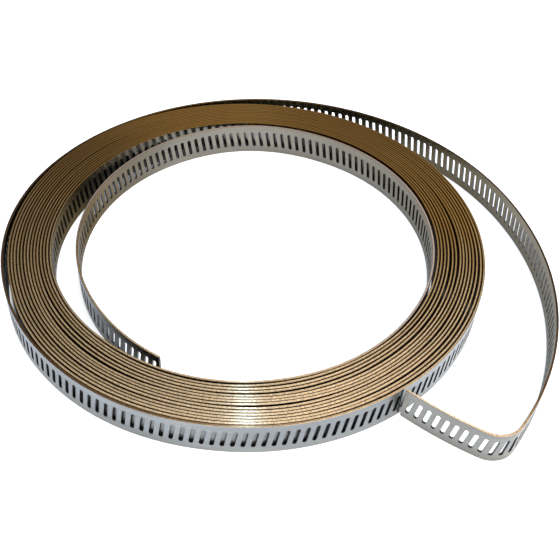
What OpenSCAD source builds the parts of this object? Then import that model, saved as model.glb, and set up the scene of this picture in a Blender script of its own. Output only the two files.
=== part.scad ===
// A slotted tensioning strap: one long stainless band for worm-drive clamps,
// wound into a flat coil that lies on its edges. The outer end springs away in a
// wide loop and comes back to the coil, and the inner end stands off the inside.
// The origin is in the middle of the coil's eye, level with the lower edges.

/* [Band] */
// Width of the band, which is the height of the lying coil
band_w = 12.7; // [11:0.1:16]
// Thickness of the band
band_t = 0.8; // [0.6:0.05:0.9]

/* [Slots] */
// Distance from the middle of one slot to the next, along the band
slot_pitch = 3.1; // [2.8:0.05:4]
// Length of a slot with its round ends
slot_l = 7.2; // [5:0.1:9]
// Width of a slot
slot_w = 1.4; // [1:0.05:1.8]
// Lean of a slot from straight across the band, in degrees
slot_lean = 9; // [0:1:14]
// Distance from each end of the band to the middle of the first slot
end_margin = 2.4; // [1.8:0.1:6]

/* [Coil] */
// Whole turns that lie together in the coil
turns = 15; // [4:1:16]
// Radius of the coil's inside
coil_r = 68.4; // [55:0.1:80]
// Air between one turn and the next at the front, where the coil is looser
front_gap = 0.38; // [0.24:0.02:0.5]
// Air between one turn and the next at the back
back_gap = 0.24; // [0.2:0.02:0.5]

/* [Slack in the outermost turn] */
// How far the outermost turn stands off the turn below it, past the usual air
slack_h = 1.1; // [0.4:0.1:1.6]
// Direction in which the outermost turn lies on the coil again, in degrees
slack_end_angle = 258; // [245:1:265]
// How much wider the bow is that leads into and out of the slack stretch
slack_ease = 6; // [5:0.5:12]

/* [Outer loop] */
// Direction in which the outer loop leaves the coil, in degrees
loop_start_angle = 136; // [120:1:145]
// How much wider than the coil the first bow of the loop is
loop_bow_1 = 12.3; // [8:0.1:18]
// Angle of the first bow
loop_angle_1 = 114; // [105:1:120]
// How much wider than the coil the second bow is
loop_bow_2 = 25.7; // [20:0.1:32]
// Angle of the second bow
loop_angle_2 = 61; // [50:1:66]
// Radius of the tight bend before the free end
loop_bend_r = 8.6; // [7:0.1:12]
// Radius of the gently bowed free end
free_end_r = 124; // [90:1:200]
// Direction in which the free end meets the coil, in degrees
free_end_angle = 305.5; // [300:0.5:310]
// Air between the middle of the free end's edge and the coil
free_end_gap = 0.5; // [0.4:0.05:1]

/* [Inner end] */
// Direction in which the innermost turn leaves the coil, in degrees
inner_start_angle = 64; // [50:1:75]
// How much tighter than the coil the inner end curls as it leaves
inner_curl = 10.8; // [9:0.1:14]
// Angle of that curl
inner_curl_angle = 46; // [40:1:60]
// Air between the tip of the inner end and the coil
inner_tip_gap = 2.7; // [1:0.1:4]

/* [Smoothness] */
// Number of flats in a full circle of the coil
smooth = 120; // [60:12:180]

/* [Hidden] */
steel = [0.66, 0.68, 0.71];
slot_smooth = 16;

// A stretch of the band is an arc of its middle line, given by its middle, its
// radius, its first direction and its angle. Stretches follow each other inwards
// and all turn left, each one tangent to the next.
function stretch(mid, r, from, turn) = [mid, r, from, turn];
function mid_of(s) = s[0];
function r_of(s) = s[1];
function from_of(s) = s[2];
function turn_of(s) = s[3];
function length_of(s) = r_of(s) * turn_of(s) * PI / 180;
function toward(angle, r) = r * [cos(angle), sin(angle)];
function direction(v) = atan2(v[1], v[0]);
function round_to_turn(angle) = angle - 360 * floor(angle / 360);
function sum(list, count) = count <= 0 ? 0 : list[count - 1] + sum(list, count - 1);

// The coil is a spiral of half turns whose middles lie on the Y axis. Half turn 0 is
// the outermost, even ones lie on the left, and they meet at the front and the back.
// From one to the next, the radius and the middle change by half a step.
front_step = band_t + front_gap;
back_step = band_t + back_gap;
last_half = 2 * turns - 1;
function whole_inside(i) = floor((last_half - i) / 2);
function odd_inside(i) = (last_half - i) % 2;
function half_mid(i) =
    [0, (whole_inside(i) * (back_step - front_step) + odd_inside(i) * back_step) / 2];
function half_r(i) = coil_r + band_t / 2
    + (whole_inside(i) * (back_step + front_step) + odd_inside(i) * back_step) / 2;
function half_from(i) = i % 2 == 0 ? 90 : 270;
function half_turn(i) = stretch(half_mid(i), half_r(i), half_from(i), 180);

// The outermost half turn stands off the coil between the loop and slack_end_angle. Two
// wide arcs lead into a tighter one between them, which is slack_h further out.
slack_mid = (loop_start_angle + slack_end_angle) / 2;
slack_half = (slack_end_angle - loop_start_angle) / 2;
lead_r = half_r(0) + slack_ease;
crown_at = half_r(0) + slack_h;
crown_r = (slack_ease^2 + crown_at^2 + 2 * slack_ease * crown_at * cos(slack_half) - lead_r^2)
    / (2 * (crown_at + slack_ease * cos(slack_half) - lead_r));
crown_mid = half_mid(0) + toward(slack_mid, crown_at - crown_r);
lead_in_mid = half_mid(0) - toward(loop_start_angle, slack_ease);
lead_out_mid = half_mid(0) - toward(slack_end_angle, slack_ease);
crown_from = direction(crown_mid - lead_in_mid);
slack_lead = crown_from - loop_start_angle;
slack = [
    stretch(lead_in_mid, lead_r, loop_start_angle, slack_lead),
    stretch(crown_mid, crown_r, loop_start_angle + slack_lead, 2 * (slack_half - slack_lead)),
    stretch(lead_out_mid, lead_r, slack_end_angle - slack_lead, slack_lead),
    stretch(half_mid(0), half_r(0), slack_end_angle, 270 - slack_end_angle)
];

// The outer loop is two wide bows, a tight bend and the free end's gentle bow.
// The free end's bow is the circle of free_end_r that touches the bend and passes
// through the point where the band ends.
bow_1_r = half_r(0) + loop_bow_1;
bow_1_mid = half_mid(0) - toward(loop_start_angle, loop_bow_1);
bow_1_from = loop_start_angle - loop_angle_1;
bow_2_r = half_r(0) + loop_bow_2;
bow_2_mid = bow_1_mid - toward(bow_1_from, bow_2_r - bow_1_r);
bow_2_from = bow_1_from - loop_angle_2;
bend_mid = bow_2_mid + toward(bow_2_from, bow_2_r - loop_bend_r);
free_tip = half_mid(1) + toward(free_end_angle, half_r(1) + band_t / 2 + free_end_gap);
tip_span = norm(free_tip - bend_mid);
free_mid_span = free_end_r - loop_bend_r;
free_mid_side = acos((free_mid_span^2 + tip_span^2 - free_end_r^2)
    / (2 * free_mid_span * tip_span));
free_mid_at = direction(free_tip - bend_mid) - free_mid_side;
free_mid = bend_mid + toward(free_mid_at, free_mid_span);
bend_from = free_mid_at - 180;
free_from = direction(free_tip - free_mid);
loop = [
    stretch(free_mid, free_end_r, free_from, round_to_turn(bend_from - free_from)),
    stretch(bend_mid, loop_bend_r, bend_from, round_to_turn(bow_2_from - bend_from)),
    stretch(bow_2_mid, bow_2_r, bow_2_from, loop_angle_2),
    stretch(bow_1_mid, bow_1_r, bow_1_from, loop_angle_1)
];

// The inner end curls away from the coil, then runs on at the radius of the
// innermost turn until its tip comes back to inner_tip_gap from the coil.
inner_r = half_r(last_half);
curl_r = inner_r - inner_curl;
curl_mid = half_mid(last_half) + toward(inner_start_angle, inner_curl);
curl_end = inner_start_angle + inner_curl_angle;
stand_mid = curl_mid - toward(curl_end, inner_curl);
wall_mid = half_mid(last_half - 1);
tip_r = half_r(last_half - 1) - band_t - inner_tip_gap;
stand_off = norm(stand_mid - wall_mid);
stand_side = acos((tip_r^2 - stand_off^2 - inner_r^2) / (2 * stand_off * inner_r));
stand_end = direction(stand_mid - wall_mid) - stand_side;
inner_end = [
    stretch(half_mid(last_half), inner_r, 270, round_to_turn(inner_start_angle - 270)),
    stretch(curl_mid, curl_r, inner_start_angle, inner_curl_angle),
    stretch(stand_mid, inner_r, curl_end, round_to_turn(stand_end - curl_end))
];

// The slotted runs are those that can be seen: the outer one from the free tip to
// the end of the first whole turn, and the inner one over the last whole turn and
// the inner end. The turns between them are hidden in the coil and left plain.
outer_path = concat(loop, slack, [half_turn(1)]);
inner_path = concat([half_turn(last_half - 1)], inner_end);
hidden_halves = [2 : last_half - 2];

// Points along one side of a run, at the distance side from its middle line.
function stretch_points(s, side) =
    let (flats = max(1, ceil(turn_of(s) * smooth / 360)))
    [for (j = [0 : flats]) mid_of(s) + toward(from_of(s) + j * turn_of(s) / flats, r_of(s) + side)];
function without_last(list) = [for (i = [0 : len(list) - 2]) list[i]];
function side_points(path, side) = concat(
    [for (s = path) each without_last(stretch_points(s, side))],
    [let (s = path[len(path) - 1]) mid_of(s) + toward(from_of(s) + turn_of(s), r_of(s) + side)]);
function backwards(list) = [for (i = [len(list) - 1 : -1 : 0]) list[i]];

// Where a slot stands at a distance along a run: its middle and its outward direction.
function place(path, along, i = 0) =
    along <= length_of(path[i]) || i == len(path) - 1
    ? let (s = path[i], angle = from_of(s) + along / r_of(s) * 180 / PI)
        [mid_of(s) + toward(angle, r_of(s)), angle]
    : place(path, along - length_of(path[i]), i + 1);

module plain_run(path) {
    linear_extrude(band_w)
        polygon(concat(side_points(path, band_t / 2), backwards(side_points(path, -band_t / 2))));
}

// A slot cutter points out along X and reaches half the air on either side.
module slot_cutter() {
    reach = band_t + min(front_gap, back_gap);
    straight = slot_l - slot_w;
    rotate([-slot_lean, 0, 0]) {
        cube([reach, slot_w, straight], center = true);
        for (side = [-1, 1])
            translate([0, 0, side * straight / 2])
                rotate([0, 90, 0])
                    cylinder(h = reach, d = slot_w, center = true, $fn = slot_smooth);
    }
}

// A run with slots at slot_pitch, counted from its first end or from its last.
module slotted_run(path, from_last_end) {
    total = sum([for (s = path) length_of(s)], len(path));
    difference() {
        plain_run(path);
        for (distance = [end_margin : slot_pitch : total - end_margin]) {
            spot = place(path, from_last_end ? total - distance : distance);
            translate([spot[0][0], spot[0][1], band_w / 2])
                rotate([0, 0, spot[1]])
                    slot_cutter();
        }
    }
}

module hidden_half(i) {
    translate(half_mid(i))
        rotate([0, 0, half_from(i)])
            rotate_extrude(angle = 180)
                translate([half_r(i) - band_t / 2, 0])
                    square([band_t, band_w]);
}

module slotted_strap() {
    color(steel) {
        slotted_run(outer_path, from_last_end = false);
        for (i = hidden_halves) hidden_half(i, $fn = smooth);
        slotted_run(inner_path, from_last_end = true);
    }
}

slotted_strap();
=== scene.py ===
import cmath
import math

import bpy
import numpy as np
from mathutils import Matrix, Vector
from mathutils.geometry import delaunay_2d_cdt


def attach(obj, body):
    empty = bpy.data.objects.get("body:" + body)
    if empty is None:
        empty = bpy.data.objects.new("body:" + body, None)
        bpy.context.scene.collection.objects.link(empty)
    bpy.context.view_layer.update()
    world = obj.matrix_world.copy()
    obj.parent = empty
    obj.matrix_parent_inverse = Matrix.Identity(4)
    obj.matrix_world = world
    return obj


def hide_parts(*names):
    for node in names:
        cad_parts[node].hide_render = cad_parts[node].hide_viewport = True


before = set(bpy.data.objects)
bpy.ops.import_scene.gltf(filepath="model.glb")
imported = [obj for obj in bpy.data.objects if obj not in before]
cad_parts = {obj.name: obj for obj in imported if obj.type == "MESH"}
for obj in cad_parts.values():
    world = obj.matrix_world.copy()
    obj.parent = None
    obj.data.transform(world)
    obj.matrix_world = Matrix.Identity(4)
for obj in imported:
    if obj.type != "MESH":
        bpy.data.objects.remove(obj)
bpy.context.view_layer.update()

mm = 0.001
scene = bpy.context.scene
scene.view_settings.view_transform = "Standard"


# Node helpers: an input is either a plain value or another node's socket.
nodeGrid = {"columns": 10, "across": 200, "down": 300}


def put(tree, kind, inputs=None, **settings):
    node = tree.nodes.new(kind)
    row, column = divmod(len(tree.nodes), nodeGrid["columns"])
    node.location = (column * nodeGrid["across"], -row * nodeGrid["down"])
    for name, value in settings.items():
        setattr(node, name, value)
    for key, value in (inputs or {}).items():
        if isinstance(value, bpy.types.NodeSocket):
            tree.links.new(value, node.inputs[key])
        else:
            node.inputs[key].default_value = value
    return node


def calc(tree, operation, a, b=0.0):
    return put(tree, "ShaderNodeMath", {0: a, 1: b}, operation=operation).outputs[0]


def plus(tree, a, b):
    return calc(tree, "ADD", a, b)


def minus(tree, a, b):
    return calc(tree, "SUBTRACT", a, b)


def times(tree, a, b):
    return calc(tree, "MULTIPLY", a, b)


def over(tree, a, b):
    return calc(tree, "DIVIDE", a, b)


def scaleTo(tree, value, low, high, newLow, newHigh):
    node = put(tree, "ShaderNodeMapRange", {"Value": value, "From Min": low, "From Max": high,
                                            "To Min": newLow, "To Max": newHigh})
    return node.outputs["Result"]


def blendColours(tree, factor, a, b, way="MIX"):
    node = put(tree, "ShaderNodeMix", {0: factor, 6: a, 7: b}, data_type="RGBA", blend_type=way)
    return node.outputs[2]


def vector(tree, x=0.0, y=0.0, z=0.0):
    return put(tree, "ShaderNodeCombineXYZ", {0: x, 1: y, 2: z}).outputs[0]


def split(tree, value):
    return put(tree, "ShaderNodeSeparateXYZ", {0: value}).outputs


def vectorCalc(tree, operation, a, b=(0.0, 0.0, 0.0)):
    node = put(tree, "ShaderNodeVectorMath", {0: a, 1: b}, operation=operation)
    single = operation in ("LENGTH", "DISTANCE", "DOT_PRODUCT")
    return node.outputs["Value" if single else "Vector"]


def texturePlace(tree, kind="Object"):
    return put(tree, "ShaderNodeTexCoord").outputs[kind]


# The strap in millimetres and degrees. The values are those of the part's source but for slotPitch,
# slackHeight and slackEnd, which are 3.1, 1.1 and 258 there.
strap = {
    "width": 12.7, "thickness": 0.8,
    "slotPitch": 3.0933, "slotLength": 7.2, "slotWidth": 1.4, "slotLean": 9, "endMargin": 2.4,
    "turns": 15, "coilRadius": 68.4, "frontGap": 0.38, "backGap": 0.24,
    "slackHeight": 0.8, "slackEnd": 236, "slackEase": 6,
    "loopStart": 136, "loopBow1": 12.3, "loopAngle1": 114, "loopBow2": 25.7, "loopAngle2": 61,
    "bendRadius": 8.6, "freeEndRadius": 124, "freeEndAngle": 305.5, "freeEndGap": 0.5,
    "innerStart": 64, "innerCurl": 10.8, "innerCurlAngle": 46, "innerTipGap": 2.7,
    "edgeBreak": 0.1,        # the small chamfer that slitting leaves along both edges
    "heightPlay": 0.08,      # how much the turns stand up and down against each other
    "pathStep": 1.0,
    "inset": 0.035,          # keeps the round turns inside the part, whose turns have flats
    # random looser and tighter spots: seed, degrees from one to the next, shares of the air that they take
    # or add, strength, degrees over which they come and go at both ends, and the most air any may take
    "looseSeed": 5, "looseKnots": 70, "looseRange": (-0.8, 1.8), "looseness": 0.3, "looseEnds": 90,
    "tightest": 0.7,
    # where the turns stand apart: number of the gap from outside, direction, half its span, extra gap widths
    "looseSpots": [
        (1, 197, 17, 0.9), (1, 222, 22, -0.45), (2, 235, 45, 0.7), (3, 225, 35, 0.4), (4, 214, 25, 0.5),
        (5, 235, 35, 0.6), (9, 232, 34, 1.5), (10, 228, 35, 0.8), (11, 222, 35, 0.7), (14, 250, 32, 0.9),
        (7, 278, 26, 1.5), (8, 262, 22, 0.5), (11, 285, 40, 1.1), (13, 286, 32, 1.1), (14, 272, 25, 0.9),
        (1, 308, 26, 0.7), (3, 308, 30, 0.7), (10, 312, 34, 0.9), (2, 325, 30, 0.8), (6, 322, 24, 0.7),
        (12, 322, 22, 0.6), (14, 326, 26, 0.9), (8, 3, 34, 1.4), (10, 350, 24, 0.9), (14, 352, 30, 0.9),
        (2, 346, 25, 0.7), (8, 140, 24, 0.8), (5, 30, 30, 0.6)],
    # swells and dents: direction, half the span, how far out the outermost turn goes and the innermost one
    "swells": [(40, 75, 1.3, 0.0), (232, 38, 0.75, -0.35), (350, 60, 0.3, -0.9)],
    # how the innermost turn eases off: direction in which it stands furthest off, half the span, how far
    "innerEase": (75, 120, 1.45),
    "ovalAt": 47, "oval": (0.15, 1.0),  # the coil is longer along this diagonal, its inside most
    "shiftFade": 45,         # degrees past the coil's ends over which its shift dies out
}
atBack, atFront = 90, 270


def toward(angle, radius):
    return cmath.rect(radius, math.radians(angle))


def heading(spot):
    return math.degrees(cmath.phase(spot))


# the strap's middle line as arcs (middle, radius, first angle, turn), from the outer tip inwards
def strapArcs(s):
    frontStep = s["thickness"] + s["frontGap"]
    backStep = s["thickness"] + s["backGap"]
    lastHalf = 2 * s["turns"] - 1

    def half(i):
        whole, odd = divmod(lastHalf - i, 2)
        middle = 1j * (whole * (backStep - frontStep) + odd * backStep) / 2
        grown = (whole * (backStep + frontStep) + odd * backStep) / 2
        return middle, s["coilRadius"] + s["thickness"] / 2 + grown, atBack if i % 2 == 0 else atFront, 180

    mid0, r0 = half(0)[:2]
    slackHalf = (s["slackEnd"] - s["loopStart"]) / 2
    leadR = r0 + s["slackEase"]
    crownAt = r0 + s["slackHeight"]
    ease = s["slackEase"] * math.cos(math.radians(slackHalf))
    crownSquares = s["slackEase"] ** 2 + crownAt ** 2 + 2 * crownAt * ease - leadR ** 2
    crownR = crownSquares / (2 * (crownAt + ease - leadR))
    crownMid = mid0 + toward(s["loopStart"] + slackHalf, crownAt - crownR)
    leadInMid = mid0 - toward(s["loopStart"], s["slackEase"])
    leadOutMid = mid0 - toward(s["slackEnd"], s["slackEase"])
    lead = heading(crownMid - leadInMid) % 360 - s["loopStart"]
    slack = [
        (leadInMid, leadR, s["loopStart"], lead),
        (crownMid, crownR, s["loopStart"] + lead, 2 * (slackHalf - lead)),
        (leadOutMid, leadR, s["slackEnd"] - lead, lead),
        (mid0, r0, s["slackEnd"], atFront - s["slackEnd"]),
    ]

    bow1R = r0 + s["loopBow1"]
    bow1Mid = mid0 - toward(s["loopStart"], s["loopBow1"])
    bow1From = s["loopStart"] - s["loopAngle1"]
    bow2R = r0 + s["loopBow2"]
    bow2Mid = bow1Mid - toward(bow1From, bow2R - bow1R)
    bow2From = bow1From - s["loopAngle2"]
    bendMid = bow2Mid + toward(bow2From, bow2R - s["bendRadius"])
    mid1, r1 = half(1)[:2]
    tip = mid1 + toward(s["freeEndAngle"], r1 + s["thickness"] / 2 + s["freeEndGap"])
    span = abs(tip - bendMid)
    reach = s["freeEndRadius"] - s["bendRadius"]
    sideCosine = (reach ** 2 + span ** 2 - s["freeEndRadius"] ** 2) / (2 * reach * span)
    freeMidAt = heading(tip - bendMid) - math.degrees(math.acos(sideCosine))
    freeMid = bendMid + toward(freeMidAt, reach)
    freeFrom = heading(tip - freeMid)
    loop = [
        (freeMid, s["freeEndRadius"], freeFrom, (freeMidAt - 180 - freeFrom) % 360),
        (bendMid, s["bendRadius"], freeMidAt - 180, (bow2From - freeMidAt + 180) % 360),
        (bow2Mid, bow2R, bow2From, s["loopAngle2"]),
        (bow1Mid, bow1R, bow1From, s["loopAngle1"]),
    ]

    midIn, rIn = half(lastHalf)[:2]
    wallMid, wallR = half(lastHalf - 1)[:2]
    curlMid = midIn + toward(s["innerStart"], s["innerCurl"])
    curlEnd = s["innerStart"] + s["innerCurlAngle"]
    standMid = curlMid - toward(curlEnd, s["innerCurl"])
    tipR = wallR - s["thickness"] - s["innerTipGap"]
    off = abs(standMid - wallMid)
    standCosine = (tipR ** 2 - off ** 2 - rIn ** 2) / (2 * off * rIn)
    standEnd = heading(standMid - wallMid) - math.degrees(math.acos(standCosine))
    lastTurn = (midIn, rIn, atFront, (s["innerStart"] - atFront) % 360)
    coil = slack + [half(i) for i in range(1, lastHalf)] + [lastTurn]
    inner = [
        (curlMid, rIn - s["innerCurl"], s["innerStart"], s["innerCurlAngle"]),
        (standMid, rIn, curlEnd, (standEnd - curlEnd) % 360),
    ]
    return loop, coil, inner


# 1 in the middle of a swell, and 0 from halfSpan on to either side
def swellAt(aside, halfSpan):
    return np.cos(np.radians(np.clip(aside / halfSpan, -1, 1) * 90)) ** 2


# How far each spot of the coil lies out of the even spiral, one value a degree from its outer end. The
# loose spots leave the outermost and the innermost turn in place. The swells and the ease move them too.
def looseTurns(s, coilAngle):
    rng = np.random.default_rng(s["looseSeed"])
    gapAngle = int(coilAngle) - 360
    rows = math.ceil(gapAngle / 360)
    at = np.arange(rows * 360)
    knots = np.arange(0, rows * 360 + s["looseKnots"], s["looseKnots"])
    least, most = s["looseRange"]
    wide = np.interp(at, knots, rng.random(len(knots)) ** 2 * (most - least) + least)
    soften = np.hanning(s["looseKnots"])
    wide = s["looseness"] * np.convolve(wide, soften / soften.sum(), mode="same")
    for number, direction, span, extra in s["looseSpots"]:
        centre = (number - 1) * 360 + (direction - s["loopStart"]) % 360
        wide += extra * swellAt(at - centre, span)
    ends = np.clip(np.minimum(at, gapAngle - at) / s["looseEnds"], 0, 1)
    wide = (wide * ends).reshape(rows, 360)
    ends = ends.reshape(rows, 360)
    wide -= ends * wide.sum(0) / ends.sum(0)
    wide *= min(1, s["tightest"] / -wide.min())
    around = np.sin(np.radians(s["loopStart"] + np.arange(360)))
    air = (s["frontGap"] + s["backGap"]) / 2 - (s["frontGap"] - s["backGap"]) / 2 * around
    shift = -np.cumsum(wide * air, axis=0)
    loose = np.concatenate([np.zeros(360), shift.ravel()])
    passed = np.arange(len(loose))
    inwards = np.clip((passed - 180) / (coilAngle - 360), 0, 1)  # 0 on the first half turn, 1 on the last
    for direction, span, outer, inner in s["swells"]:
        aside = (s["loopStart"] + passed - direction + 180) % 360 - 180
        loose += (outer + (inner - outer) * inwards) * swellAt(aside, span)
    direction, span, ease = s["innerEase"]
    aside = passed - len(loose) + (s["loopStart"] - direction)
    return loose - ease * swellAt(aside, span)


# Both ends of the coil take their shift along into the loop and the inner end, where it dies out.
def strapPath(s):
    loop, coil, inner = strapArcs(s)
    coilAngle = sum(turn for _, _, _, turn in coil)
    shifts = looseTurns(s, coilAngle)
    spots = np.arange(len(shifts))
    points = []
    passed = -sum(turn for _, _, _, turn in loop)
    for middle, radius, first, turn in loop + coil + inner:
        steps = math.ceil(math.radians(turn) * radius / s["pathStep"])
        for k in range(steps):
            angle = passed + turn * k / steps
            beyond = max(-angle, angle - coilAngle, 0)
            along = s["loopStart"] + min(max(angle, 0), coilAngle)
            oval = np.interp(angle, (0, coilAngle), s["oval"])
            oval *= math.cos(math.radians(2 * (along - s["ovalAt"])))
            shift = (np.interp(angle, spots, shifts) + oval) * swellAt(beyond, s["shiftFade"])
            points.append(middle + toward(first + turn * k / steps, radius + shift - s["inset"]))
        passed += turn
    points.append(middle + toward(first + turn, radius - s["inset"]))
    return np.array([(p.real * mm, p.imag * mm, 0) for p in points])


pathPoints = strapPath(strap)
pathMesh = bpy.data.meshes.new("strapPath")
pathMesh.from_pydata(pathPoints.tolist(), [(i, i + 1) for i in range(len(pathPoints) - 1)], [])
strapPiece = bpy.data.objects.new("slottedStrapBand", pathMesh)
scene.collection.objects.link(strapPiece)
pathLength = float(np.linalg.norm(np.diff(pathPoints, axis=0), axis=1).sum())
print("path of", len(pathPoints), "points,", round(pathLength, 3), "m long")


# One pitch of flat strap with its slot: x runs along the strap, y from its outside to its inside, z up.
# Each face has one of six kinds: slot is also the cut ends, corner the chamfers beside the slit edges, and
# wound both sides of the turns deep in the coil.
cell = {"fineSteps": 16, "fineColumns": 3, "woundSteps": 8, "woundColumns": 1, "sameSpot": 1e-6}
outside, edge, slot, corner, inside, wound = range(6)


def slotOutline(s, steps):
    radius = s["slotWidth"] / 2
    straight = (s["slotLength"] - s["slotWidth"]) / 2
    lean = Matrix.Rotation(math.radians(-s["slotLean"]), 2)
    middle = Vector((0, s["width"] / 2))
    outline = []
    for end, first in ((1, 0), (-1, 180)):
        for k in range(steps // 2):
            angle = math.radians(first + 180 * k / (steps // 2 - 1))
            spot = Vector((math.cos(angle) * radius, math.sin(angle) * radius + end * straight))
            outline.append(middle + lean @ spot)
    return outline


# The lower and the upper edge with their chamfers. Each column has 8 corners: 0 to 3 go inwards along
# the lower edge, and 4 to 7 back outwards along the upper one.
def bandStrip(s, columns):
    half = s["thickness"] / 2
    cut = s["edgeBreak"]
    top = s["width"] - s["heightPlay"]
    ring = [(-half, cut), (-half + cut, 0), (half - cut, 0), (half, cut),
            (half, top - cut), (half - cut, top), (-half + cut, top), (-half, top - cut)]
    verts = [(x, y, z) for x in columns for y, z in ring]
    faces, kinds = [], []
    for c in range(len(columns) - 1):
        for k, kind in ((0, corner), (1, edge), (2, corner), (4, corner), (5, edge), (6, corner)):
            a, b = c * 8 + k, c * 8 + k + 1
            faces.append((a, b, b + 8, a + 8))
            kinds.append(kind)
    return verts, faces, kinds


def finishFlat(name, verts, faces, kinds, finish):
    mesh = bpy.data.meshes.new(name)
    mesh.from_pydata([(x * mm, y * mm, z * mm) for x, y, z in verts], [], faces)
    mesh.attributes.new("kind", "INT", "FACE").data.foreach_set("value", kinds)
    mesh.validate()
    mesh.materials.append(finish)
    return bpy.data.objects.new(name, mesh)


def slottedCell(name, s, steps, columnCount, sideKinds, finish):
    columns = [s["slotPitch"] * (k / columnCount - 0.5) for k in range(columnCount + 1)]
    verts, faces, kinds = bandStrip(s, columns)
    low, high = s["edgeBreak"], s["width"] - s["heightPlay"] - s["edgeBreak"]
    border = [Vector((x, low)) for x in columns] + [Vector((x, high)) for x in reversed(columns)]
    rim = [(len(border) + k, len(border) + (k + 1) % steps) for k in range(steps)]
    flat = border + slotOutline(s, steps)
    spots, _, triangles, _, _, _ = delaunay_2d_cdt(flat, rim, [], 0, cell["sameSpot"])
    middle = Vector((0, s["width"] / 2))
    lean = Matrix.Rotation(math.radians(s["slotLean"]), 2)
    for side in (-1, 1):
        start = len(verts)
        verts += [(p.x, side * s["thickness"] / 2, p.y) for p in spots]
        for tri in triangles:
            centre = lean @ (sum((spots[i] for i in tri), Vector((0, 0))) / 3 - middle)
            beyond = max(abs(centre.y) - (s["slotLength"] - s["slotWidth"]) / 2, 0)
            if math.hypot(centre.x, beyond) < s["slotWidth"] / 2:
                continue  # inside the slot
            order = tri if side < 0 else tri[::-1]
            faces.append(tuple(start + i for i in order))
            kinds.append(sideKinds[side > 0])
    outer, inner = len(verts) - 2 * len(spots), len(verts) - len(spots)
    for a, b in rim:
        faces.append((outer + b, outer + a, inner + a, inner + b))
        kinds.append(slot)
    return finishFlat(name, verts, faces, kinds, finish)


# plain strap from its cut end, at x = 0, to the first cell
def cutEnd(name, s, finish):
    verts, faces, kinds = bandStrip(s, [0, s["endMargin"] - s["slotPitch"] / 2])
    for a, b, kind in ((3, 4, inside), (7, 0, outside)):
        faces.append((a, b, b + 8, a + 8))
        kinds.append(kind)
    faces += [(0, 7, 4, 3), (0, 3, 2, 1), (4, 7, 6, 5)]
    kinds += [slot, slot, slot]
    return finishFlat(name, verts, faces, kinds, finish)


# Finishes. Each has what a user would change in front of the function that makes it. A painted tint comes and
# goes over two stretches, in millimetres from the outer tip, or below zero from the inner one. With x, it
# changes along X too, over those metres, from the first to the second amount. Most tints stand in for shade
# and reflections, as each finish says.
upToTip = (0, 1)
# The first tint is a painted warm reflection on the outside of the free end. The second makes the outside
# darker and browner towards the inner tip, from 48 mm before it.
rolledSteel = {
    "dark": (0.315, 0.323, 0.321, 1), "light": (0.485, 0.498, 0.495, 1), "roughness": (0.12, 0.24),
    "paintedTints": [{"colour": (1.0, 0.94, 0.87, 1), "comes": (0.1, 0.2), "goes": (45, 65)},
               {"colour": (0.34, 0.30, 0.23, 1), "comes": (-48, -22), "goes": upToTip}],
}
# The inside is a darker, browner copy of the rolled steel: painted shade. Its tints darken and brown it more
# where the loop and the slack run beside the coil, and on the innermost turn with the inner end, most of all
# on the left: painted shade and painted dark reflections. edge is its tint at grazing angles, and the value
# after it how much the painted tints change that tint.
insideSteelShaded = {
    "dark": (0.24, 0.218, 0.178, 1), "light": (0.395, 0.365, 0.308, 1), "roughness": (0.12, 0.24),
    "edge": (0.84, 0.79, 0.70, 1), "edgeTintShare": 0.4,
    "paintedTints": [{"colour": (0.58, 0.50, 0.37, 1), "comes": (95, 190), "goes": (700, 760)},
               {"colour": (0.50, 0.54, 0.42, 1), "comes": (190, 260), "goes": (700, 760)},
               {"colour": (0.47, 0.37, 0.24, 1), "comes": (-640, -560), "goes": upToTip,
                "x": (-0.03, -0.065), "amount": (0.12, 1)},
               {"colour": (0.35, 0.30, 0.21, 1), "comes": (-100, -40), "goes": upToTip}],
}
# The turns deep in the coil are a darker copy of the rolled steel: painted shade. Along their edges, up to
# the millimetres in rimHeight, painted shade darkens them more, for the gaps between the turns; over the
# metres in rimFrom it turns browner towards the back. The tint darkens the turn beside the innermost one
# where that
# eases off: painted shade.
woundSteelShaded = {
    "dark": (0.25, 0.255, 0.25, 1), "light": (0.385, 0.39, 0.385, 1), "roughness": (0.26, 0.36),
    "paintedTints": [{"colour": (0.8, 0.62, 0.42, 1), "comes": (-840, -760), "goes": (-640, -600)}],
    "rim": (0.06, 0.042, 0.025, 1), "rimShadeBehind": (0.30, 0.18, 0.07, 1), "rimSlant": 0.6,
    "rimFrom": (0, 0.05), "rimHeight": (1.7, 2.72),
}
# What all rolled faces share: each noise has its length along the strap, its height and its detail, and
# the ranges say which part of a noise is spread over the tones or the roughness.
rolling = {
    "streaks": (25, 0.11, 3.0), "hairlines": (4.0, 0.03, 2.0), "clouds": (60.0, 9.0, 3.0),
    "streakShare": 0.55, "cloudShare": 0.45, "toneRange": (0.35, 0.65), "roughRange": (0.3, 0.7),
    "punchRing": 0.35, "ringDark": 0.45, "ringRough": 0.1,  # the dull ring that the punch leaves
    "bump": 0.25, "bumpHeight": 0.00004, "hairlineBump": 0.5,
}


def newFinish(name):
    finish = bpy.data.materials.new(name)
    finish.use_nodes = True
    tree = finish.node_tree
    tree.nodes.clear()
    shader = put(tree, "ShaderNodeBsdfPrincipled", {"Metallic": 1.0})
    put(tree, "ShaderNodeOutputMaterial", {"Surface": shader.outputs[0]})
    return finish, tree, shader


def feed(tree, shader, inputs):
    for name, socket in inputs.items():
        tree.links.new(socket, shader.inputs[name])


# the strap's own measure: millimetres along it and up it
def strapMeasure(tree):
    measure = put(tree, "ShaderNodeUVMap", uv_map="strapMeasure").outputs[0]
    return split(tree, measure)[:2]


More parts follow.
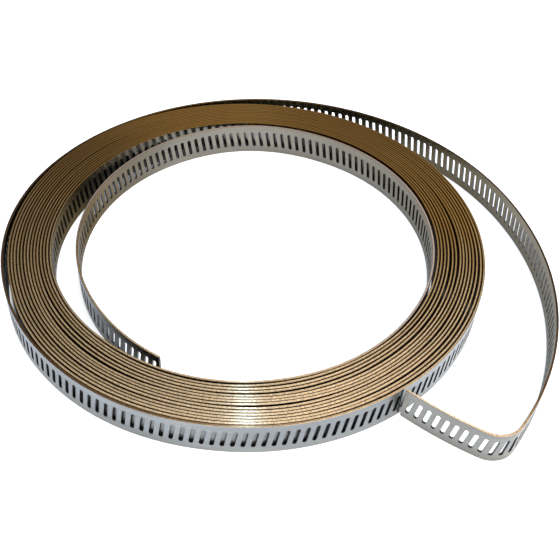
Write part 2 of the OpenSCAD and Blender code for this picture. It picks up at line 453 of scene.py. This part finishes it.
def grainNoise(tree, along, up, alongSize, upSize, detail):
    place = vector(tree, over(tree, along, alongSize), over(tree, up, upSize))
    noise = put(tree, "ShaderNodeTexNoise", {"Vector": place, "Scale": 1.0, "Detail": detail},
                noise_dimensions="2D")
    return noise.outputs[0]


def bumpFrom(tree, height, strength, distance):
    node = put(tree, "ShaderNodeBump", {"Strength": strength, "Distance": distance, "Height": height})
    return node.outputs[0]


# mixes or multiplies each tint into the colour over its stretch; the finishes say which are painted shade and
# painted reflections
def paintTintsOver(tree, colour, paintedTints, along, s, strength=1.0):
    for paintedTint in paintedTints:
        fromTip = along if paintedTint["comes"][0] > 0 else minus(tree, along, s["length"])
        amount = times(tree, scaleTo(tree, fromTip, *paintedTint["comes"], 0, strength),
                       scaleTo(tree, fromTip, *paintedTint["goes"], 1, 0))
        if "x" in paintedTint:
            x = split(tree, texturePlace(tree))[0]
            amount = times(tree, amount, scaleTo(tree, x, *paintedTint["x"], *paintedTint["amount"]))
        colour = blendColours(tree, amount, colour, paintedTint["colour"], paintedTint.get("way", "MULTIPLY"))
    return colour


# distance from the rim of the nearest slot
def slotDistance(tree, along, up, s):
    firstCell = s["endMargin"] - s["slotPitch"] / 2
    inCell = calc(tree, "MODULO", minus(tree, along, firstCell), s["pitch"])
    cellAlong = minus(tree, inCell, s["pitch"] / 2)
    cellUp = minus(tree, up, s["width"] / 2)
    lean = math.radians(s["slotLean"])
    cosine, sine = math.cos(lean), math.sin(lean)
    across = minus(tree, times(tree, cellAlong, cosine), times(tree, cellUp, sine))
    length = plus(tree, times(tree, cellAlong, sine), times(tree, cellUp, cosine))
    straight = (s["slotLength"] - s["slotWidth"]) / 2
    beyond = calc(tree, "MAXIMUM", minus(tree, calc(tree, "ABSOLUTE", length), straight), 0.0)
    squares = plus(tree, times(tree, across, across), times(tree, beyond, beyond))
    return minus(tree, calc(tree, "SQRT", squares), s["slotWidth"] / 2)


# painted shade along the edges of the deep turns, browner towards the back
def paintRimShade(tree, colour, up, f, s):
    place = split(tree, texturePlace(tree))
    behind = plus(tree, place[1], times(tree, place[0], f["rimSlant"]))
    rimShade = blendColours(tree, scaleTo(tree, behind, *f["rimFrom"], 0, 1), f["rim"], f["rimShadeBehind"])
    fromEdge = calc(tree, "MINIMUM", up, minus(tree, s["width"], up))
    return blendColours(tree, scaleTo(tree, fromEdge, *f["rimHeight"], 0, 1), rimShade, colour)


def makeRolledSteel(name, f, s):
    finish, tree, shader = newFinish(name)
    along, up = strapMeasure(tree)
    streaks = grainNoise(tree, along, up, *rolling["streaks"])
    hairlines = grainNoise(tree, along, up, *rolling["hairlines"])
    clouds = grainNoise(tree, along, up, *rolling["clouds"])
    tone = plus(tree, times(tree, streaks, rolling["streakShare"]),
                times(tree, clouds, rolling["cloudShare"]))
    colour = blendColours(tree, scaleTo(tree, tone, *rolling["toneRange"], 0, 1), f["dark"], f["light"])
    ring = scaleTo(tree, slotDistance(tree, along, up, s), 0, rolling["punchRing"], 1, 0)
    colour = blendColours(tree, times(tree, ring, rolling["ringDark"]), colour, f["dark"])
    # the painted shade in the gaps between the deep turns
    if "rim" in f:
        colour = paintRimShade(tree, colour, up, f, s)
    colour = paintTintsOver(tree, colour, f["paintedTints"], along, s)
    rough = scaleTo(tree, streaks, *rolling["roughRange"], *f["roughness"])
    rough = plus(tree, rough, times(tree, ring, rolling["ringRough"]))
    height = plus(tree, streaks, times(tree, hairlines, rolling["hairlineBump"]))
    feed(tree, shader, {"Base Color": colour, "Roughness": rough,
                        "Normal": bumpFrom(tree, height, rolling["bump"], rolling["bumpHeight"])})
    if "edge" in f:
        tint = paintTintsOver(tree, f["edge"], f["paintedTints"], along, s, f["edgeTintShare"])
        feed(tree, shader, {"Specular Tint": tint})
    return finish


# The slit edges run from tan at the front to brown at the back, and the corners beside them are darker:
# painted light and shade that stand in for the room's light on the edges. byY is the colour by metres in Y,
# slant how much of X is added to it at the front and at the back, dots how dark and how light the grain makes
# them.
slitSteel = {
    "byY": [(-0.085, (0.86, 0.63, 0.39, 1)), (-0.035, (0.53, 0.38, 0.20, 1)),
            (0.02, (0.275, 0.152, 0.038, 1)), (0.07, (0.20, 0.098, 0.018, 1))],
    # the painted highlight along the middle of the edge, for the light on a rounded edge: half its width by
    # metres in Y with lineSlant of X added, how softly it ends, in millimetres, and the painted shade beside
    # it
    "lineByY": [(-0.085, 0.34), (-0.06, 0.26), (-0.025, 0.175), (0.02, 0.21), (0.05, 0.30), (0.07, 0.34)],
    "lineSlant": 0.4, "lineSoft": 0.04, "beside": (0.20, 0.16, 0.12, 1),
    # the tints darken the loop's edge from the bend on, most near the bend: painted shade; the last one is
    # paler, along the innermost turn where it eases off, and replaces the painted colour there
    "paintedTints": [{"colour": (0.28, 0.22, 0.17, 1), "comes": (26, 52), "goes": (520, 640)},
               {"colour": (0.45, 0.42, 0.42, 1), "comes": (40, 58), "goes": (100, 160)},
               {"colour": (0.47, 0.37, 0.31, 1), "comes": (-370, -310), "goes": (-90, -60), "way": "MIX"}],
    "slant": (-0.1, 0.15), "grain": (0.7, 0.3, 2.0), "dots": (0.6, 1.35), "roughness": 0.19, "brushed": 1.0,
}
# the chamfers beside the slit edges: painted shade, pale tan only at the very front, where it is a painted
# highlight
cornerSteel = {
    "byY": [(-0.085, (0.66, 0.47, 0.28, 1)), (-0.055, (0.12, 0.08, 0.045, 1)),
            (-0.02, (0.06, 0.035, 0.018, 1)), (0.02, (0.07, 0.04, 0.014, 1)),
            (0.05, (0.17, 0.09, 0.022, 1)), (0.07, (0.17, 0.085, 0.017, 1))],
    "paintedTints": [],
    "slant": (-0.28, 0.55), "grain": (0.5, 0.3, 2.0), "dots": (0.5, 1.3), "roughness": 0.45, "brushed": 0.0,
}
# What both share: noiseRange is the part of a noise that counts, the bands shift the colour by up to
# wander, in metres, slant changes over the metres in slantFrom, and the dots fade to dotsLeft over those in
# dotsFade. brushedTurn is a quarter of a full turn.
slitting = {
    "bands": (90.0, 400.0, 2.0), "wander": 0.012, "noiseRange": (0.3, 0.7), "slantFrom": (-0.05, 0),
    "dotsFade": (-0.02, 0.05), "dotsLeft": 0.25, "bump": 0.05, "bumpHeight": 0.00003, "brushedTurn": 0.25,
}


def colourByY(tree, y, stops):
    colour = stops[0][1]
    for (nearY, _), (farY, farColour) in zip(stops, stops[1:]):
        colour = blendColours(tree, scaleTo(tree, y, nearY, farY, 0, 1), colour, farColour)
    return colour


# paints a highlight along the middle of each slit edge and shade on both sides of it
def paintEdgeHighlight(tree, colour, up, x, y, f, s):
    fromTop = minus(tree, up, s["width"] - s["heightPlay"])
    aside = calc(tree, "MINIMUM", calc(tree, "ABSOLUTE", up), calc(tree, "ABSOLUTE", fromTop))
    behind = plus(tree, y, times(tree, x, f["lineSlant"]))
    half = f["lineByY"][0][1]
    for (nearY, near), (farY, far) in zip(f["lineByY"], f["lineByY"][1:]):
        half = plus(tree, half, scaleTo(tree, behind, nearY, farY, 0, far - near))
    beyond = scaleTo(tree, minus(tree, aside, half), -f["lineSoft"], f["lineSoft"], 0, 1)
    return blendColours(tree, beyond, colour, f["beside"], "MULTIPLY")


def makeSlitSteel(name, f, s):
    finish, tree, shader = newFinish(name)
    along, up = strapMeasure(tree)
    grain = grainNoise(tree, along, up, *f["grain"])
    bands = grainNoise(tree, along, up, *slitting["bands"])
    # X and Y of the object place the painted light and shade along the edges
    x, y = split(tree, texturePlace(tree))[:2]
    slant = scaleTo(tree, y, *slitting["slantFrom"], *f["slant"])
    wander = scaleTo(tree, bands, *slitting["noiseRange"], -slitting["wander"], slitting["wander"])
    colour = colourByY(tree, plus(tree, plus(tree, y, times(tree, x, slant)), wander), f["byY"])
    if "lineByY" in f:
        colour = paintEdgeHighlight(tree, colour, up, x, y, f, s)
    colour = paintTintsOver(tree, colour, f["paintedTints"], along, s)
    dot = scaleTo(tree, grain, *slitting["noiseRange"], *f["dots"])
    dots = put(tree, "ShaderNodeCombineColor", {channel: dot for channel in range(3)}).outputs[0]
    dotted = scaleTo(tree, y, *slitting["dotsFade"], 1, slitting["dotsLeft"])
    colour = blendColours(tree, dotted, colour, dots, "MULTIPLY")
    shader.inputs["Roughness"].default_value = f["roughness"]
    shader.inputs["Anisotropic"].default_value = f["brushed"]
    shader.inputs["Anisotropic Rotation"].default_value = slitting["brushedTurn"]
    tangent = put(tree, "ShaderNodeTangent", direction_type="UV_MAP", uv_map="strapMeasure").outputs[0]
    feed(tree, shader, {"Base Color": colour, "Tangent": tangent,
                        "Normal": bumpFrom(tree, grain, slitting["bump"], slitting["bumpHeight"])})
    return finish


# the slots' walls, torn by the punch, darker where they face up
punchedSteel = {
    "dark": (0.08, 0.08, 0.08, 1), "light": (0.22, 0.22, 0.22, 1), "tear": (0.12, 0.8, 2.0),
    "tearRange": (0.3, 0.7), "below": (0.05, 0.045, 0.04, 1), "facing": (0.3, 0.75),
    "roughness": 0.4, "bump": 0.3, "bumpHeight": 0.00005,
}


def makePunchedSteel(name, f):
    finish, tree, shader = newFinish(name)
    tear = grainNoise(tree, *strapMeasure(tree), *f["tear"])
    colour = blendColours(tree, scaleTo(tree, tear, *f["tearRange"], 0, 1), f["dark"], f["light"])
    facing = split(tree, texturePlace(tree, "Normal"))[2]
    colour = blendColours(tree, scaleTo(tree, facing, *f["facing"], 0, 1), colour, f["below"])
    shader.inputs["Roughness"].default_value = f["roughness"]
    feed(tree, shader, {"Base Color": colour, "Normal": bumpFrom(tree, tear, f["bump"], f["bumpHeight"])})
    return finish


# the slots share out the strap's length evenly between the two end margins
slotCount = int((pathLength / mm - 2 * strap["endMargin"]) / strap["slotPitch"]) + 1
strap["length"] = pathLength / mm
strap["pitch"] = (strap["length"] - 2 * strap["endMargin"]) / (slotCount - 1)
rolledFinish = makeRolledSteel("rolledSteel", rolledSteel, strap)
slitFinish = makeSlitSteel("slitEdgeSteel", slitSteel, strap)
cornerFinish = makeSlitSteel("edgeCornerSteel", cornerSteel, strap)
insideFinish = makeRolledSteel("rolledSteelInsideShaded", insideSteelShaded, strap)
punchedFinish = makePunchedSteel("punchedSteel", punchedSteel)
woundFinish = makeRolledSteel("woundSteelShaded", woundSteelShaded, strap)
print("finishes made,", slotCount, "slots at", round(strap["pitch"], 4), "mm")

fineCell = slottedCell("fineCell", strap, cell["fineSteps"], cell["fineColumns"],
                       (outside, inside), rolledFinish)
woundCell = slottedCell("woundCell", strap, cell["woundSteps"], cell["woundColumns"],
                        (wound, wound), rolledFinish)
endPiece = cutEnd("endPiece", strap, rolledFinish)
print("cells:", len(fineCell.data.polygons), "and", len(woundCell.data.polygons), "faces")


# The tree lays cells end to end on a straight line, welds them, and bends the line along the path. Cells
# are fine where the strap shows, in the outer and the inner run. Edges past sharpAngle stay sharp.
bending = {"fineOuterSlots": 262, "fineInnerSlots": 194, "weld": 0.01, "sharpAngle": 32,
           "playLength": 180, "playSeed": 7, "playRange": (0.25, 0.75)}
endLength = strap["endMargin"] - strap["slotPitch"] / 2
treeInputs = [
    ("Fine Cell", "Object", fineCell), ("Wound Cell", "Object", woundCell), ("End Piece", "Object", endPiece),
    ("Slot Count", "Int", slotCount), ("Cell Length", "Float", strap["slotPitch"] * mm),
    ("End Length", "Float", endLength * mm), ("End Margin", "Float", strap["endMargin"] * mm),
    ("Fine Outer Slots", "Int", bending["fineOuterSlots"]),
    ("Fine Inner Slots", "Int", bending["fineInnerSlots"]),
    ("Weld Distance", "Float", bending["weld"] * mm), ("Height Play", "Float", strap["heightPlay"] * mm),
    ("Play Length", "Float", bending["playLength"] * mm), ("Seed", "Int", bending["playSeed"]),
]
# the finishes in the order of the six kinds of faces
treeFinishes = [
    ("Rolled Steel", "Material", rolledFinish), ("Slit Steel", "Material", slitFinish),
    ("Punched Steel", "Material", punchedFinish), ("Corner Steel", "Material", cornerFinish),
    ("Inside Steel", "Material", insideFinish), ("Wound Steel", "Material", woundFinish),
]


def layCells(tree, entry, total):
    used = minus(tree, total, times(tree, entry["End Margin"], 2.0))
    pitch = over(tree, used, minus(tree, entry["Slot Count"], 1.0))
    line = put(tree, "GeometryNodeMeshLine", {
        "Count": entry["Slot Count"], "Start Location": vector(tree, entry["End Margin"]),
        "Offset": vector(tree, pitch)}, mode="OFFSET").outputs[0]
    ends = put(tree, "GeometryNodeMeshLine", {"Count": 2, "Offset": vector(tree, total)},
               mode="END_POINTS", count_mode="TOTAL").outputs[0]
    index = put(tree, "GeometryNodeInputIndex").outputs[0]
    atOuter = calc(tree, "LESS_THAN", index, entry["Fine Outer Slots"])
    fromInner = minus(tree, minus(tree, entry["Slot Count"], entry["Fine Inner Slots"]), 0.5)
    fine = calc(tree, "MAXIMUM", atOuter, calc(tree, "GREATER_THAN", index, fromInner))
    fit = vector(tree, over(tree, pitch, entry["Cell Length"]), 1.0, 1.0)
    endFit = over(tree, minus(tree, entry["End Margin"], over(tree, pitch, 2.0)), entry["End Length"])
    joined = put(tree, "GeometryNodeJoinGeometry")
    for name, points, choice in (
            ("Fine Cell", line, {"Selection": fine, "Scale": fit}),
            ("Wound Cell", line, {"Selection": minus(tree, 1.0, fine), "Scale": fit}),
            ("End Piece", ends, {"Rotation": vector(tree, z=times(tree, index, math.pi)),
                                 "Scale": vector(tree, endFit, 1.0, 1.0)})):
        shape = put(tree, "GeometryNodeObjectInfo", {"Object": entry[name]}).outputs["Geometry"]
        laid = put(tree, "GeometryNodeInstanceOnPoints", {"Points": points, "Instance": shape, **choice})
        tree.links.new(laid.outputs[0], joined.inputs[0])
    real = put(tree, "GeometryNodeRealizeInstances", {0: joined.outputs[0]}).outputs[0]
    welded = put(tree, "GeometryNodeMergeByDistance", {"Geometry": real, "Distance": entry["Weld Distance"]})
    return welded.outputs[0]


# keeps the strap's own measure from when it was straight, and lifts it a little here and there
def bendAlong(tree, entry, flat, curve):
    x, y, z = split(tree, put(tree, "GeometryNodeInputPosition").outputs[0])
    measure = vector(tree, over(tree, x, mm), over(tree, plus(tree, y, z), mm))
    marked = put(tree, "GeometryNodeStoreNamedAttribute", {
        "Geometry": flat, "Name": "strapMeasure", "Value": measure},
        data_type="FLOAT2", domain="CORNER").outputs[0]
    sample = put(tree, "GeometryNodeSampleCurve", {"Curves": curve, "Length": x}, mode="LENGTH").outputs
    inward = vectorCalc(tree, "CROSS_PRODUCT", (0.0, 0.0, 1.0), sample["Tangent"])
    inward = vectorCalc(tree, "NORMALIZE", inward)
    aside = put(tree, "ShaderNodeVectorMath", {0: inward, "Scale": y}, operation="SCALE").outputs[0]
    playAt = plus(tree, over(tree, x, entry["Play Length"]), entry["Seed"])
    play = put(tree, "ShaderNodeTexNoise", {"W": playAt, "Scale": 1.0, "Detail": 0.0},
               noise_dimensions="1D").outputs[0]
    lift = times(tree, scaleTo(tree, play, *bending["playRange"], 0, 1), entry["Height Play"])
    place = vectorCalc(tree, "ADD", sample["Position"], aside)
    place = vectorCalc(tree, "ADD", place, vector(tree, z=plus(tree, z, lift)))
    return put(tree, "GeometryNodeSetPosition", {"Geometry": marked, "Position": place}).outputs[0]


def dressFaces(tree, entry, shape):
    angle = put(tree, "GeometryNodeInputMeshEdgeAngle").outputs[0]
    sharp = calc(tree, "GREATER_THAN", angle, math.radians(bending["sharpAngle"]))
    shape = put(tree, "GeometryNodeSetShadeSmooth", {"Geometry": shape, "Shade Smooth": True},
                domain="FACE").outputs[0]
    shape = put(tree, "GeometryNodeSetShadeSmooth", {
        "Geometry": shape, "Selection": sharp, "Shade Smooth": False}, domain="EDGE").outputs[0]
    kind = put(tree, "GeometryNodeInputNamedAttribute", {"Name": "kind"}, data_type="INT").outputs[0]
    for number, (name, _, _) in enumerate(treeFinishes):
        chosen = put(tree, "FunctionNodeCompare", {2: kind, 3: number}, data_type="INT", operation="EQUAL")
        shape = put(tree, "GeometryNodeSetMaterial", {
            "Geometry": shape, "Selection": chosen.outputs[0], "Material": entry[name]}).outputs[0]
    return shape


def strapTree(inputs):
    tree = bpy.data.node_groups.new("layStrapAlongPath", "GeometryNodeTree")
    face = tree.interface
    face.new_socket("Geometry", in_out="OUTPUT", socket_type="NodeSocketGeometry")
    face.new_socket("Geometry", in_out="INPUT", socket_type="NodeSocketGeometry")
    sockets = {name: face.new_socket(name, in_out="INPUT", socket_type="NodeSocket" + kind).identifier
               for name, kind, _ in inputs}
    entry = put(tree, "NodeGroupInput").outputs
    curve = put(tree, "GeometryNodeMeshToCurve", {"Mesh": entry["Geometry"]}).outputs[0]
    total = put(tree, "GeometryNodeCurveLength", {0: curve}).outputs[0]
    shape = bendAlong(tree, entry, layCells(tree, entry, total), curve)
    put(tree, "NodeGroupOutput", {0: dressFaces(tree, entry, shape)})
    return tree, sockets


tree, sockets = strapTree(treeInputs + treeFinishes)
modifier = strapPiece.modifiers.new("layStrap", "NODES")
modifier.node_group = tree
for name, _, value in treeInputs + treeFinishes:
    modifier[sockets[name]] = value
depsgraph = bpy.context.evaluated_depsgraph_get()
strapMesh = bpy.data.meshes.new_from_object(strapPiece.evaluated_get(depsgraph), depsgraph=depsgraph)
strapPiece.modifiers.clear()
strapPiece.data = strapMesh
for helper in (fineCell, woundCell, endPiece):
    bpy.data.objects.remove(helper)
strapMesh.name = "slottedStrapBand"
strapMesh.attributes.remove(strapMesh.attributes["kind"])
strapMesh.calc_loop_triangles()
print("strap laid:", len(strapMesh.vertices), "vertices,", len(strapMesh.loop_triangles), "triangles,",
      [m.name for m in strapMesh.materials], [layer.name for layer in strapMesh.uv_layers])

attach(strapPiece, "root")
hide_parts("slotted_strap")


# The pale floor: its own light for the camera and in reflections, with the strap's shadow left on it. A
# painted shadow keeps it dark under the coil, a ring of underMiddle with half its width in underHalf, and at
# the back between the coil and the standing inner end, whose arc has its middle at standMiddle: there its own
# light drops and its colour darkens.
stage = {"size": 6.0, "below": 0.00005, "shade": (0.86, 0.86, 0.86, 1), "glow": 0.6, "glowMirrored": 0.1,
         "underMiddle": 0.0771, "underHalf": (0.0072, 0.0082), "standMiddle": (0.0084, -0.0004, 0),
         "standOut": (0.0690, 0.0698), "standBack": (0.02, 0.035), "glowInShadow": 0.05,
         "colourInShadow": (0.3, 0.3, 0.3, 1)}


# the mask of the painted shadow under the coil and behind the standing inner end
def paintFloorShadow(tree, s):
    spot = texturePlace(tree)
    aside = minus(tree, vectorCalc(tree, "LENGTH", spot), s["underMiddle"])
    under = scaleTo(tree, calc(tree, "ABSOLUTE", aside), *s["underHalf"], 1, 0)
    fromStand = vectorCalc(tree, "DISTANCE", spot, s["standMiddle"])
    between = times(tree, calc(tree, "LESS_THAN", aside, 0.0), scaleTo(tree, fromStand, *s["standOut"], 0, 1))
    back = scaleTo(tree, split(tree, spot)[1], *s["standBack"], 0, 1)
    return calc(tree, "MAXIMUM", under, times(tree, between, back))


def makeStage(s):
    half = s["size"] / 2
    mesh = bpy.data.meshes.new("paleFloor")
    corners = [(x, y, -s["below"]) for x, y in ((-half, -half), (half, -half), (half, half), (-half, half))]
    mesh.from_pydata(corners, [], [(0, 1, 2, 3)])
    floor = bpy.data.objects.new("paleFloor", mesh)
    scene.collection.objects.link(floor)
    finish = bpy.data.materials.new("paleFloorFinish")
    finish.use_nodes = True
    tree = finish.node_tree
    tree.nodes.clear()
    rays = put(tree, "ShaderNodeLightPath").outputs
    mirrored = calc(tree, "MAXIMUM", rays["Is Glossy Ray"], rays["Is Transmission Ray"])
    seen = calc(tree, "MAXIMUM", rays["Is Camera Ray"], times(tree, mirrored, s["glowMirrored"]))
    # dark is the painted shadow's mask; it dims the floor's own light and darkens its colour
    dark = paintFloorShadow(tree, s)
    seen = times(tree, seen, scaleTo(tree, dark, 0, 1, 1, s["glowInShadow"]))
    matt = put(tree, "ShaderNodeBsdfDiffuse", {"Color": blendColours(tree, dark, s["shade"], s["colourInShadow"])})
    glow = put(tree, "ShaderNodeEmission", {"Strength": times(tree, seen, s["glow"])})
    both = put(tree, "ShaderNodeAddShader", {0: matt.outputs[0], 1: glow.outputs[0]})
    put(tree, "ShaderNodeOutputMaterial", {"Surface": both.outputs[0]})
    mesh.materials.append(finish)


# a plain room, paler overhead than at the level of the floor, paler behind the camera and to the right
room = {"level": 0.27, "overhead": 0.95, "bend": 0.6, "fromFront": 0.6, "front": (0.2, -0.78, 0.59),
        "frontBend": 1.5, "toRight": 1.35, "least": 0.45}


def makeWorld(r):
    world = bpy.data.worlds.new("paleRoom")
    scene.world = world
    world.use_nodes = True
    tree = world.node_tree
    tree.nodes.clear()
    looking = texturePlace(tree, "Generated")
    x, _, z = split(tree, looking)
    height = calc(tree, "POWER", calc(tree, "MAXIMUM", z, 0.0), r["bend"])
    ahead = vectorCalc(tree, "DOT_PRODUCT", looking, r["front"])
    ahead = calc(tree, "POWER", calc(tree, "MAXIMUM", ahead, 0.0), r["frontBend"])
    light = plus(tree, scaleTo(tree, height, 0, 1, r["level"], r["overhead"]),
                 times(tree, ahead, r["fromFront"]))
    sideways = plus(tree, times(tree, x, r["toRight"]), 1.0)
    light = times(tree, light, calc(tree, "MAXIMUM", sideways, r["least"]))
    soft = put(tree, "ShaderNodeBackground", {"Color": (1, 1, 1, 1), "Strength": light})
    put(tree, "ShaderNodeOutputWorld", {"Surface": soft.outputs[0]})


lamps = {
    "stripAbove": {"at": (0.007, 0.1, 1.20), "size": (0.022, 0.5), "power": 3.9, "colour": (0.36, 0.62, 1.0)},
    "softFront": {"at": (0.25, -1.2, 1.4), "size": (1.6, 1.6), "power": 3, "colour": (1, 1, 1)},
}


# every lamp looks at the middle of the coil's eye
def makeLamp(name, lamp):
    light = bpy.data.lights.new(name, "AREA")
    light.shape = "RECTANGLE"
    light.size, light.size_y = lamp["size"]
    light.energy = lamp["power"]
    light.color = lamp["colour"]
    holder = bpy.data.objects.new(name, light)
    scene.collection.objects.link(holder)
    holder.location = lamp["at"]
    holder.rotation_euler = (-Vector(lamp["at"])).to_track_quat("-Z", "Y").to_euler()


makeStage(stage)
makeWorld(room)
for name, lamp in lamps.items():
    makeLamp(name, lamp)

# The camera stands where the photograph was taken from. Its places, lens and sensor are in millimetres,
# its roll in degrees and its nearest distance in metres.
view = {"at": (-0.92, -231.8, 215.8), "aim": (12.17, -11.31, 0), "roll": 3.926, "lens": 54.69, "sensor": 36,
        "nearest": 0.01}
camera = bpy.data.objects.new("camera", bpy.data.cameras.new("camera"))
scene.collection.objects.link(camera)
camera.data.lens = view["lens"]
camera.data.sensor_width = view["sensor"]
camera.data.clip_start = view["nearest"]
at, aim = Vector(view["at"]) * mm, Vector(view["aim"]) * mm
roll = Matrix.Rotation(math.radians(view["roll"]), 3, "Z")
turned = (aim - at).to_track_quat("-Z", "Y").to_matrix() @ roll
camera.matrix_world = Matrix.Translation(at) @ turned.to_4x4()
scene.camera = camera
print("stage, lamps and camera set")
